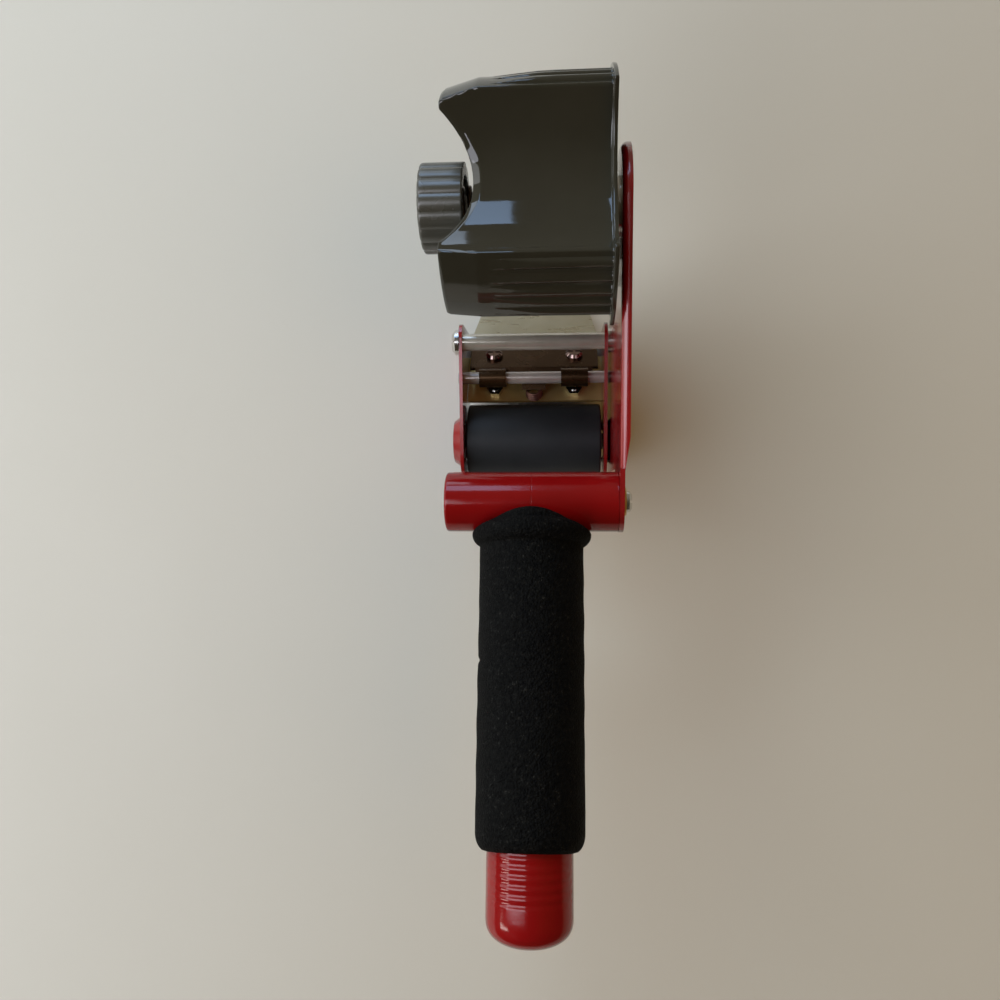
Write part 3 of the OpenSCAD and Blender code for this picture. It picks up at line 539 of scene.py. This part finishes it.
# Half of the handle, with a flat wall that closes the stem at the parting line
def makeHandle(name, side):
    stem = handleStem(side)
    wall = np.stack([stem[0], stem[-1]], 0)
    return surfacePiece(name, [(handleTube(side), True, False), (stem, False, False), (wall, False, False)])


settle(makeHandle("handleLeft", -1), "frame", finishes["redPlastic"], "handle_left")
settle(makeHandle("handleRight", 1), "frame", finishes["redPlastic"], "handle_right")
print("handle made")

# Foam grip

foamSizes = dict(
    tubeRadius=9.55, inner=12.85, outer=16.3, top=4.1, end=103.3, endLean=1.8, arch=27.71, lipAt=11.0, lipRound=3.65,
    lipCentre=15.1, lipBlend=0.12, topRound=3.0, sideRound=1.0, endRound=5.5,
    swell=0.07, swellTurns=3, swellTwist=0.21, swellBeat=0.33, swellStart=1.3,
    ripple=0.05, rippleTurns=7, rippleTwist=0.47,
    nickAt=50.0, nickDepth=0.55, nickLong=0.7, nickTurn=0.4, turnSteps=288, sharp=70,
)
# Rows along the sleeve as shares of its length, closer together where the ends roll in and at the lip
foamShares = np.concatenate([
    [0, 0.0004, 0.0015, 0.004, 0.008, 0.014, 0.021], np.linspace(0.028, 0.16, 60), np.linspace(0.17, 0.965, 130),
    1 - 0.035 * np.cos(np.linspace(0.15, np.pi / 2, 12))])


# Share of a quarter circle's height at a distance from where it starts
def rolled(distance, radius):
    return np.sqrt(np.maximum(1 - np.maximum(1 - distance / radius, 0) ** 2, 0))


# The sleeve is one closed surface over the angle round the stem and the distance along it. Its upper rim follows an
# arch seen from above and the cross tube at its sides; a round lip swells just below the rim, and both ends roll in.
def makeFoamGrip(s=foamSizes):
    angle = np.linspace(0, fullTurn, s["turnSteps"], endpoint=False)[:, None]
    wide, high = np.cos(angle), np.sin(angle)
    arch = s["top"] + s["arch"] - np.sqrt(s["arch"] ** 2 - (s["outer"] * wide) ** 2)
    onTube = np.sqrt(np.maximum(s["tubeRadius"] ** 2 - (s["inner"] * high) ** 2, 0))
    rim = np.maximum(arch, onTube)
    end = s["end"] + s["endLean"] * (1 - high)
    along = rim + (end - rim) * foamShares[None]
    lip = s["lipCentre"] + np.sqrt(np.maximum(s["lipRound"] ** 2 - (along - s["lipAt"]) ** 2, 0))
    body = s["lipBlend"] * np.log(np.exp(s["outer"] / s["lipBlend"]) + np.exp(lip / s["lipBlend"]))
    # a long swell and a finer ripple, since the sleeve is never quite even
    swell = s["swell"] * np.sin(s["swellTurns"] * angle + along * s["swellTwist"])
    swell = swell * np.sin(along * s["swellBeat"] + s["swellStart"])
    ripple = s["ripple"] * np.sin(s["rippleTurns"] * angle - along * s["rippleTwist"])
    fromLeft = angle - np.pi
    nick = np.exp(-((along - s["nickAt"]) / s["nickLong"]) ** 2 - (fromLeft / s["nickTurn"]) ** 2)
    body = body + swell + ripple - s["nickDepth"] * nick
    topRound = s["sideRound"] + (s["topRound"] - s["sideRound"]) * high ** 2
    roll = rolled(along - rim, topRound) * rolled(end - along, s["endRound"])
    radius = s["inner"] + (body - s["inner"]) * roll
    return surfacePiece("foamGrip", [(onStem(radius * wide, along, radius * high), True, True)], s["sharp"])


foamGrip = settle(makeFoamGrip(), "frame", finishes["blackFoam"], "foam_grip")
print("foam grip made")

# Roller sleeve

rollerSizes = dict(
    y=-69.3, z=-59.4, radius=14.0, inner=10.5, half=24.8, edge=0.8, innerEdge=0.3, guard=0.4, turnSteps=160)


# Rings beside the rounded ends keep the long faces' normals straight.
def makeRoller(s=rollerSizes):
    half, inner, radius = s["half"], s["inner"], s["radius"]
    guard = half - s["edge"] - s["guard"]
    line = softLine([
        (-half, inner, s["innerEdge"]), (-half, radius, s["edge"]), (-guard, radius, 0), (guard, radius, 0),
        (half, radius, s["edge"]), (half, inner, s["innerEdge"]), (guard, inner, 0), (-guard, inner, 0)], True)
    return surfacePiece("rollerSleeve", [(turnedX(line, s["y"], s["z"], s["turnSteps"]), True, True)])


settle(makeRoller(), "roller", finishes["blackRubber"], "roller_sleeve")

# Springs

tensionSizes = dict(start=-26.2, length=9.4, radius=6.0, wire=0.8, turns=4)
wiperSpringSizes = dict(y=-54.0, z=-56.7, lean=25.0, along=2.0, lift=0.55, length=5.2, radius=2.8, wire=0.4, turns=4)


# A coil about Z: the path climbs evenly with its angle.
def coilPath(s, steps=40):
    angle = np.linspace(0, fullTurn * s["turns"], s["turns"] * steps + 1)
    return s["radius"] * np.cos(angle), s["radius"] * np.sin(angle), s["length"] * angle / angle[-1]


def makeSpring(name, path, wire):
    return surfacePiece(name, [(wireGrid(np.stack(path, -1), wire), False, True)])


def makeTensionSpring(s=tensionSizes):
    x, y, z = coilPath(s)
    return makeSpring("tensionSpring", (z + s["start"], y, -x), s["wire"])


def makeWiperSpring(s=wiperSpringSizes):
    x, y, z = coilPath(s)
    y, z = y + s["along"], z + s["lift"]
    lean = math.radians(-s["lean"])
    leanY = s["y"] + y * math.cos(lean) - z * math.sin(lean)
    leanZ = s["z"] + y * math.sin(lean) + z * math.cos(lean)
    return makeSpring("wiperSpring", (x, leanY, leanZ), s["wire"])


# The tension spring is built once where it sits and is not attached to a body; the real spring's coils close up as the
# knob goes in.
tensionSpring = makeTensionSpring()
tensionSpring.data.materials.append(finishes["flapSteel"])
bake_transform(tensionSpring)
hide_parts("tension_spring")
settle(makeWiperSpring(), "frame", finishes["springSteelPaintedReflection"], "wiper_spring")
print("roller and springs made")

# Nodes that keep their solid's shape get a finish of their own

nodeFinish = {
    "redPaint": ["side_plate", "left_cheek", "right_cheek"],
    "platedSteel": ["hub_stud", "thrust_washer", "handle_bolt", "handle_nut", "cheek_spacer", "guide_bar_screws",
                    "blade_screws", "blade_nuts", "roller_axle", "keyed_washer"],
    "screwSteelPaintedReflection": ["flap_screws"],
    "barSteel": ["guide_bar"],
    "paleSteel": ["hinge_rod"],
    "flapSteel": ["flap_plate", "flap_nuts"],
    "yellowZinc": ["blade_carrier", "handle_washer"],
    "bladeSteel": ["cutter_blade", "wiper"],
    "brass": ["knob_nut"],
    "fibre": ["friction_washer"],
    "darkPlastic": ["roller_core"],
    "whitePlastic": ["hub_bush", "roller_bushes"],
}
for finish, names in nodeFinish.items():
    for name in names:
        solid = nodes[name]
        if len(solid.material_slots) == 0:
            solid.data.materials.append(finishes[finish])
        for place in solid.material_slots:
            place.material = finishes[finish]
print("solids dressed")

# Stage: floor, lights, room and camera

stageSizes = dict(
    floorZ=-73.4, floorHalf=2500, cameraPlace=(9.58, -92.15, 264.46), yaw=4.04, pitch=0.07, roll=-0.04,
    lens=30.426, sensor=36.0, clipStart=0.01, lampAim=(0.0, -0.08, -0.03),
)
tableLook = dict(
    colours=[(0.3, (0.595, 0.576, 0.535)), (0.7, (0.612, 0.593, 0.552))], cloudScale=4,
    rough=(0.5, 0.6), roughScale=20, grain=0.04, grainScale=400, sockets={"Specular IOR Level": 0.3},
)

# Each light: its centre, the way its width runs, width and height, watts and colour. A mirrored one is a bright window
# or panel that only shows in reflections; the others are soft lights that only light.
lampSizes = {
    "windowSky": dict(
        place=(-0.36, 0.935, 0.737), across=(1, 0, 0), size=(0.60, 0.476),
        power=4.0, colour=(0.43, 0.65, 1.0), mirrored=True),
    "windowLow": dict(
        place=(-0.51, 1.14, 0.27), across=(1, 0, 0), size=(0.76, 0.335),
        power=2.6, colour=(0.62, 0.78, 1.0), mirrored=True),
    "windowSoft": dict(
        place=(-0.32, 0.95, 0.65), across=(1, 0, 0), size=(0.60, 0.50),
        power=6.4, colour=(0.74, 0.90, 1.0), mirrored=False),
    "sidePanel": dict(
        place=(-0.50, -0.136, 0.76), across=(0.84, 0.12, 0.54), size=(0.84, 0.28),
        power=3.2, colour=(0.88, 0.90, 1.0), mirrored=True),
    "leftPanel": dict(
        place=(-0.90, 0.12, 0.38), across=(0, 1, 0), size=(0.60, 0.45),
        power=1.7, colour=(0.95, 0.98, 1.0), mirrored=True),
    "leftSoft": dict(
        place=(-0.76, 0.50, 0.52), across=(0.55, 0.83, 0), size=(0.70, 0.60),
        power=4.8, colour=(0.92, 0.97, 1.0), mirrored=False),
    "lowSoft": dict(
        place=(-0.64, -0.72, 0.55), across=(0, 1, 0), size=(0.60, 0.60),
        power=3.6, colour=(0.95, 0.98, 1.0), mirrored=False),
    "edgeSoft": dict(
        place=(-0.85, -0.25, 0.26), across=(0, 1, 0), size=(0.60, 0.36),
        power=3.0, colour=(0.92, 0.97, 1.0), mirrored=False),
    "sparkle": dict(
        place=(-0.89, -0.48, 0.46), across=(0, 1, 0), size=(0.12, 0.38),
        power=1.2, colour=(1.0, 0.93, 0.86), mirrored=True),
    "warmFill": dict(
        place=(0.80, -0.15, 0.80), across=(0.7, 0, -0.7), size=(1.00, 1.00),
        power=3.2, colour=(1.0, 0.57, 0.12), mirrored=False),
}
roomSizes = dict(dark=(0.050, 0.040, 0.026), pale=(0.24, 0.215, 0.17), toward=(-0.45, 0.85, 0.0), low=-0.15, high=0.9)


def makeFloor(s=stageSizes):
    half, z = s["floorHalf"] * mm, s["floorZ"] * mm
    mesh = bpy.data.meshes.new("floor")
    mesh.from_pydata([(-half, -half, z), (half, -half, z), (half, half, z), (-half, half, z)], [], [(0, 1, 2, 3)])
    floor = bpy.data.objects.new("floor", mesh)
    bpy.context.scene.collection.objects.link(floor)
    floor.data.materials.append(makeFinish("paleTable", tableLook))


def makeLamps():
    for name, s in lampSizes.items():
        lamp = bpy.data.lights.new(name, "AREA")
        lamp.shape = "RECTANGLE"
        lamp.size, lamp.size_y = s["size"]
        lamp.energy = s["power"]
        lamp.color = s["colour"]
        panel = bpy.data.objects.new(name, lamp)
        place = Vector(s["place"])
        back = (place - Vector(stageSizes["lampAim"])).normalized()
        rise = back.cross(Vector(s["across"])).normalized()
        turn = Matrix((rise.cross(back), rise, back)).transposed().to_4x4()
        panel.matrix_world = Matrix.Translation(place) @ turn
        panel.visible_glossy = s["mirrored"]
        panel.visible_diffuse = not s["mirrored"]
        bpy.context.scene.collection.objects.link(panel)


# The room is dark away from the window's wall and pale toward it.
def makeRoom(s=roomSizes):
    world = bpy.data.worlds.new("room")
    world.use_nodes = True
    bpy.context.scene.world = world
    tree = world.node_tree
    coords = tree.nodes.new("ShaderNodeTexCoord")
    dot = tree.nodes.new("ShaderNodeVectorMath")
    dot.operation = "DOT_PRODUCT"
    dot.inputs[1].default_value = Vector(s["toward"]).normalized()
    tree.links.new(coords.outputs["Generated"], dot.inputs[0])
    glow = addRange(tree, dot.outputs["Value"], 0, 1, s["low"], s["high"])
    colour = addRamp(tree, glow, [(0.0, s["dark"]), (1.0, s["pale"])])
    tree.links.new(colour, tree.nodes["Background"].inputs["Color"])


def makeCamera(s=stageSizes):
    lens = bpy.data.cameras.new("camera")
    lens.lens = s["lens"]
    lens.sensor_width = s["sensor"]
    lens.clip_start = s["clipStart"]
    camera = bpy.data.objects.new("camera", lens)
    bpy.context.scene.collection.objects.link(camera)
    yaw = Matrix.Rotation(math.radians(s["yaw"]), 4, "Y")
    pitch = Matrix.Rotation(math.radians(s["pitch"]), 4, "X")
    roll = Matrix.Rotation(math.radians(s["roll"]), 4, "Z")
    camera.matrix_world = Matrix.Translation(Vector(s["cameraPlace"]) * mm) @ yaw @ pitch @ roll
    bpy.context.scene.camera = camera


makeFloor()
makeLamps()
makeRoom()
makeCamera()
bpy.context.scene.view_settings.view_transform = "Standard"
print("stage set")
